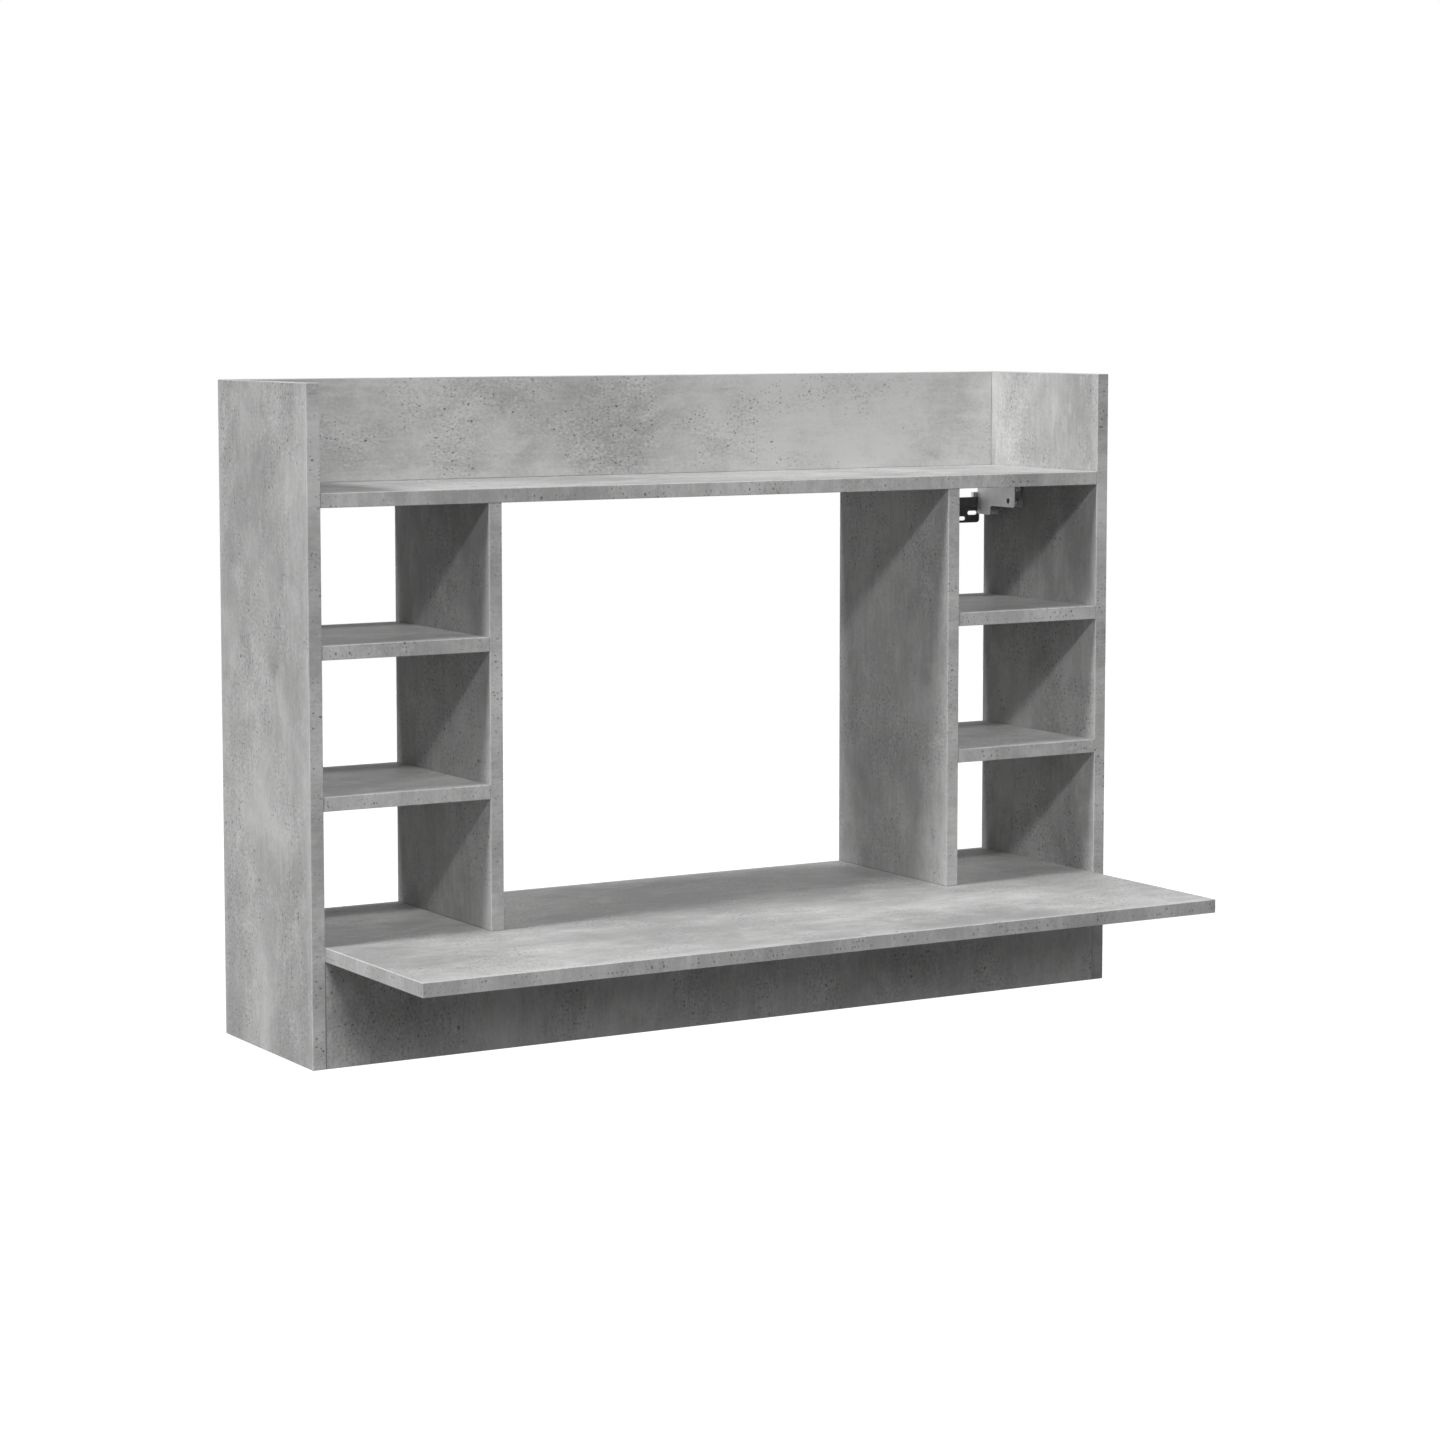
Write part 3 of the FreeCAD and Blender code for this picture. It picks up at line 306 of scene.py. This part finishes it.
def turned_beech():
    """Pale pink-brown wood: long fibres along the pin and short dark flecks."""
    finish, tree, shader = new_finish("turned_beech")
    spot = put(tree, "ShaderNodeTexCoord").outputs["Object"]
    fibre_spot = stretch(tree, spot, (0.08, 1.0, 1.0))
    fibres = noise(tree, fibre_spot, 1500.0, 4.0, 0.6)
    flecks = ease(tree, noise(tree, fibre_spot, 3200.0, 1.0), 0.62, 0.72)
    colour = blend(tree, fibres, (0.46, 0.30, 0.17, 1.0), (0.66, 0.48, 0.30, 1.0))
    colour = blend(tree, calc(tree, "MULTIPLY", flecks, 0.5), colour, (0.30, 0.17, 0.08, 1.0))
    tree.links.new(colour, shader.inputs["Base Color"])
    tree.links.new(ease(tree, fibres, 0.2, 0.8, 0.55, 0.75), shader.inputs["Roughness"])
    bump = put(tree, "ShaderNodeBump", {"Strength": 0.3, "Distance": 0.0001, "Height": fibres})
    tree.links.new(bump.outputs[0], shader.inputs["Normal"])
    return finish


dress("wood_dowels", turned_beech())


# Cover caps: thin self-adhesive discs of the same print, pressed over the screw heads
# in the top shelf.

def cap_film():
    """The board's print on a small disc: soft clouds and fine grain."""
    finish, tree, shader = new_finish("cap_film")
    spot = put(tree, "ShaderNodeTexCoord").outputs["Object"]
    clouds = noise(tree, spot, 60.0, 4.0, 0.6)
    dots = noise(tree, spot, 600.0, 2.0, 0.6)
    tone = ease(tree, calc(tree, "ADD", clouds, calc(tree, "MULTIPLY", dots, 0.4)), 0.4, 1.0)
    tree.links.new(blend(tree, tone, PRINT_DARK, PRINT_LIGHT), shader.inputs["Base Color"])
    tree.links.new(ease(tree, dots, 0.3, 0.7, 0.46, 0.60), shader.inputs["Roughness"])
    bump = put(tree, "ShaderNodeBump", {"Strength": 0.2, "Distance": 0.0001, "Height": dots})
    tree.links.new(bump.outputs[0], shader.inputs["Normal"])
    return finish


dress("screw_cover_caps", cap_film())


# Hanger housings: channels folded from steel sheet, one under each end of the top shelf against the
# side panel. The sheet is zinc plated, even and grey on the outer cheek, and darkened with painted
# shade within the fold, past the outer cheek.

def passivated_sheet():
    """Even grey sheet: rolling lines along its length and faint cloudiness, with painted shade within
    the fold.
    """
    finish, tree, shader = new_finish("passivated_sheet")
    spot = put(tree, "ShaderNodeTexCoord").outputs["Object"]
    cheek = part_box("right_hanger_housing")[0].x
    from_middle = calc(tree, "ABSOLUTE", put(tree, "ShaderNodeSeparateXYZ", {0: spot}).outputs[0])
    # painted shade: past the outer cheek, on the inner faces of the fold, the far cheek and the front
    # tab, the sheet is drawn dark where shade falls
    painted_shade_inside = ease(tree, from_middle, cheek + 0.0003, cheek + 0.0012, 0.0, 0.72)
    lines = noise(tree, stretch(tree, spot, (1.0, 0.06, 1.0)), 1800.0, 3.0, 0.6)
    cloud = noise(tree, spot, 90.0, 3.0, 0.5)
    tone = calc(tree, "ADD", calc(tree, "MULTIPLY", lines, 0.5), calc(tree, "MULTIPLY", cloud, 0.5))
    colour = blend(tree, ease(tree, tone, 0.3, 0.7), (0.58, 0.58, 0.585, 1.0), (0.66, 0.66, 0.665, 1.0))
    # the painted shade colour within the fold
    colour = blend(tree, painted_shade_inside, colour, (0.150, 0.148, 0.145, 1.0))
    tree.links.new(colour, shader.inputs["Base Color"])
    tree.links.new(ease(tree, lines, 0.3, 0.7, 0.60, 0.70), shader.inputs["Roughness"])
    shader.inputs["Metallic"].default_value = 1.0
    bump = put(tree, "ShaderNodeBump", {"Strength": 0.15, "Distance": 0.00005, "Height": lines})
    tree.links.new(bump.outputs[0], shader.inputs["Normal"])
    return finish


sheet_grey = passivated_sheet()
for side in ("left", "right"):
    dress(f"{side}_hanger_housing", sheet_grey)


# Wall plates: punched strips of steel sheet that are screwed to the wall through their slots,
# dipped in dark grey paint. The hooks hang in their folded upper edge.

def dark_dip():
    """Dark dip coat: low orange-peel waves and a trace of dust in the hollows."""
    finish, tree, shader = new_finish("dark_dip")
    spot = put(tree, "ShaderNodeTexCoord").outputs["Object"]
    waves = noise(tree, spot, 700.0, 3.0, 0.5)
    dust = noise(tree, spot, 130.0, 4.0, 0.6)
    dusty = ease(tree, dust, 0.45, 0.80)
    colour = blend(tree, dusty, (0.150, 0.150, 0.153, 1.0), (0.220, 0.220, 0.220, 1.0))
    tree.links.new(colour, shader.inputs["Base Color"])
    tree.links.new(ease(tree, dust, 0.3, 0.7, 0.34, 0.50), shader.inputs["Roughness"])
    bump = put(tree, "ShaderNodeBump", {"Strength": 0.2, "Distance": 0.0001, "Height": waves})
    tree.links.new(bump.outputs[0], shader.inputs["Normal"])
    return finish


dark_coat = dark_dip()
for side in ("left", "right"):
    dress(f"{side}_wall_plate", dark_coat)


# Studio: a plain pale floor well below the hung desk and a white room. What the camera and polished
# metal see is white, while the room's share of the light on the desk stays low. The floor is clear
# from below, so that the desk's underside can be looked at.

FLOOR_LEVEL = -1.90
FLOOR_REACH = 14.0
ROOM_LIGHT = 0.11
FLOOR_BOUNCE = 0.15
FLOOR_WHITE = 0.60
FLOOR_LIFT = 0.64


def seen_directly(tree):
    """1 for rays from the camera and for rays that metal or glass sends on, else 0."""
    path = put(tree, "ShaderNodeLightPath").outputs
    share = calc(tree, "MAXIMUM", path["Is Camera Ray"], path["Is Glossy Ray"])
    return calc(tree, "MAXIMUM", share, path["Is Transmission Ray"])


floor_mesh = bpy.data.meshes.new("studio_floor")
floor_corners = [(-1, -1), (1, -1), (1, 1), (-1, 1)]
floor_points = [(x * FLOOR_REACH, y * FLOOR_REACH, FLOOR_LEVEL) for x, y in floor_corners]
floor_mesh.from_pydata(floor_points, [], [(0, 1, 2, 3)])
floor = bpy.data.objects.new("studio_floor", floor_mesh)
bpy.context.scene.collection.objects.link(floor)
paper, tree, shader = new_finish("studio_paper")
tree.nodes.remove(shader)
shown = put(tree, "ShaderNodeBsdfDiffuse", {"Color": (FLOOR_WHITE, FLOOR_WHITE, FLOOR_WHITE, 1.0)})
lift = put(tree, "ShaderNodeEmission", {"Color": (1.0, 1.0, 1.0, 1.0), "Strength": FLOOR_LIFT})
shown = put(tree, "ShaderNodeAddShader", {0: shown.outputs[0], 1: lift.outputs[0]})
bounce = put(tree, "ShaderNodeBsdfDiffuse", {"Color": (FLOOR_BOUNCE, FLOOR_BOUNCE, FLOOR_BOUNCE, 1.0)})
mixed = put(tree, "ShaderNodeMixShader",
            {0: seen_directly(tree), 1: bounce.outputs[0], 2: shown.outputs[0]})
from_below = put(tree, "ShaderNodeNewGeometry").outputs["Backfacing"]
clear = put(tree, "ShaderNodeBsdfTransparent")
mixed = put(tree, "ShaderNodeMixShader", {0: from_below, 1: mixed.outputs[0], 2: clear.outputs[0]})
tree.links.new(mixed.outputs[0], tree.nodes["Material Output"].inputs["Surface"])
floor_mesh.materials.append(paper)

room = bpy.data.worlds.new("white_room")
bpy.context.scene.world = room
room.use_nodes = True
tree = room.node_tree
glow = ease(tree, seen_directly(tree), 0.0, 1.0, ROOM_LIGHT, 1.0)
tree.nodes["Background"].inputs["Color"].default_value = (1.0, 1.0, 1.0, 1.0)
tree.links.new(glow, tree.nodes["Background"].inputs["Strength"])
bpy.context.scene.view_settings.view_transform = "Standard"


# Lamps: far studio lamps, each given by its bearing from the front (left is negative), its height
# above the level, how wide it looks, and its strength, and one long strip lamp in front, six metres
# off, which draws the slanting shadows in the cubbies.

LAMPS = {
    "lamp_left": (-88.0, 47.0, 14.0, 2.64),
    "lamp_front_low": (0.0, 20.0, 10.0, 0.24),
    "lamp_back_left": (-145.0, 30.0, 8.0, 0.05),
    "lamp_right": (100.0, 0.0, 14.0, 1.10),
    "lamp_back": (168.0, -2.0, 8.0, 1.40),
}


def way_of_light(bearing, height):
    """The direction in which light travels from a lamp at that bearing and height, in degrees."""
    turn, rise = math.radians(bearing), math.radians(height)
    level = math.cos(rise)
    return Vector((-math.sin(turn) * level, math.cos(turn) * level, -math.sin(rise)))


for name, (bearing, height, width, strength) in LAMPS.items():
    lamp = bpy.data.lights.new(name, "SUN")
    lamp.energy = strength
    lamp.angle = math.radians(width)
    stand = bpy.data.objects.new(name, lamp)
    stand.rotation_euler = way_of_light(bearing, height).to_track_quat("-Z", "Y").to_euler()
    bpy.context.scene.collection.objects.link(stand)

STRIP_SIZE = (2.4, 0.28)
STRIP_POWER = 160.0
STRIP_BEARING, STRIP_HEIGHT = -18.0, 38.0
STRIP_AIM = Vector((0.0, -0.2, -0.2))
STRIP_DISTANCE = 6.0

strip_lamp = bpy.data.lights.new("strip_lamp", "AREA")
strip_lamp.shape = "RECTANGLE"
strip_lamp.size, strip_lamp.size_y = STRIP_SIZE
strip_lamp.energy = STRIP_POWER
strip_stand = bpy.data.objects.new("strip_lamp", strip_lamp)
strip_light = way_of_light(STRIP_BEARING, STRIP_HEIGHT)
strip_stand.location = STRIP_AIM - STRIP_DISTANCE * strip_light
strip_stand.rotation_euler = strip_light.to_track_quat("-Z", "Y").to_euler()
strip_stand.visible_camera = False
bpy.context.scene.collection.objects.link(strip_stand)


# Camera: a 90 mm lens four metres off, to the left of the desk's front and a little above its top,
# tilted slightly down, with a small shift that keeps the uprights nearly parallel.

CAMERA_PLACE = (-1.988, -3.536, 0.241)
CAMERA_TURN = math.radians(30.765)
CAMERA_TILT = math.radians(-5.37)
CAMERA_LENS = 89.8
CAMERA_SHIFT = -0.05

view_data = bpy.data.cameras.new("camera")
view_data.sensor_width = 36.0
view_data.lens = CAMERA_LENS
view_data.shift_y = CAMERA_SHIFT
view_data.clip_end = 100.0
view = bpy.data.objects.new("camera", view_data)
view.location = CAMERA_PLACE
view.rotation_euler = (math.pi / 2 + CAMERA_TILT, 0.0, -CAMERA_TURN)
bpy.context.scene.collection.objects.link(view)
bpy.context.scene.camera = view
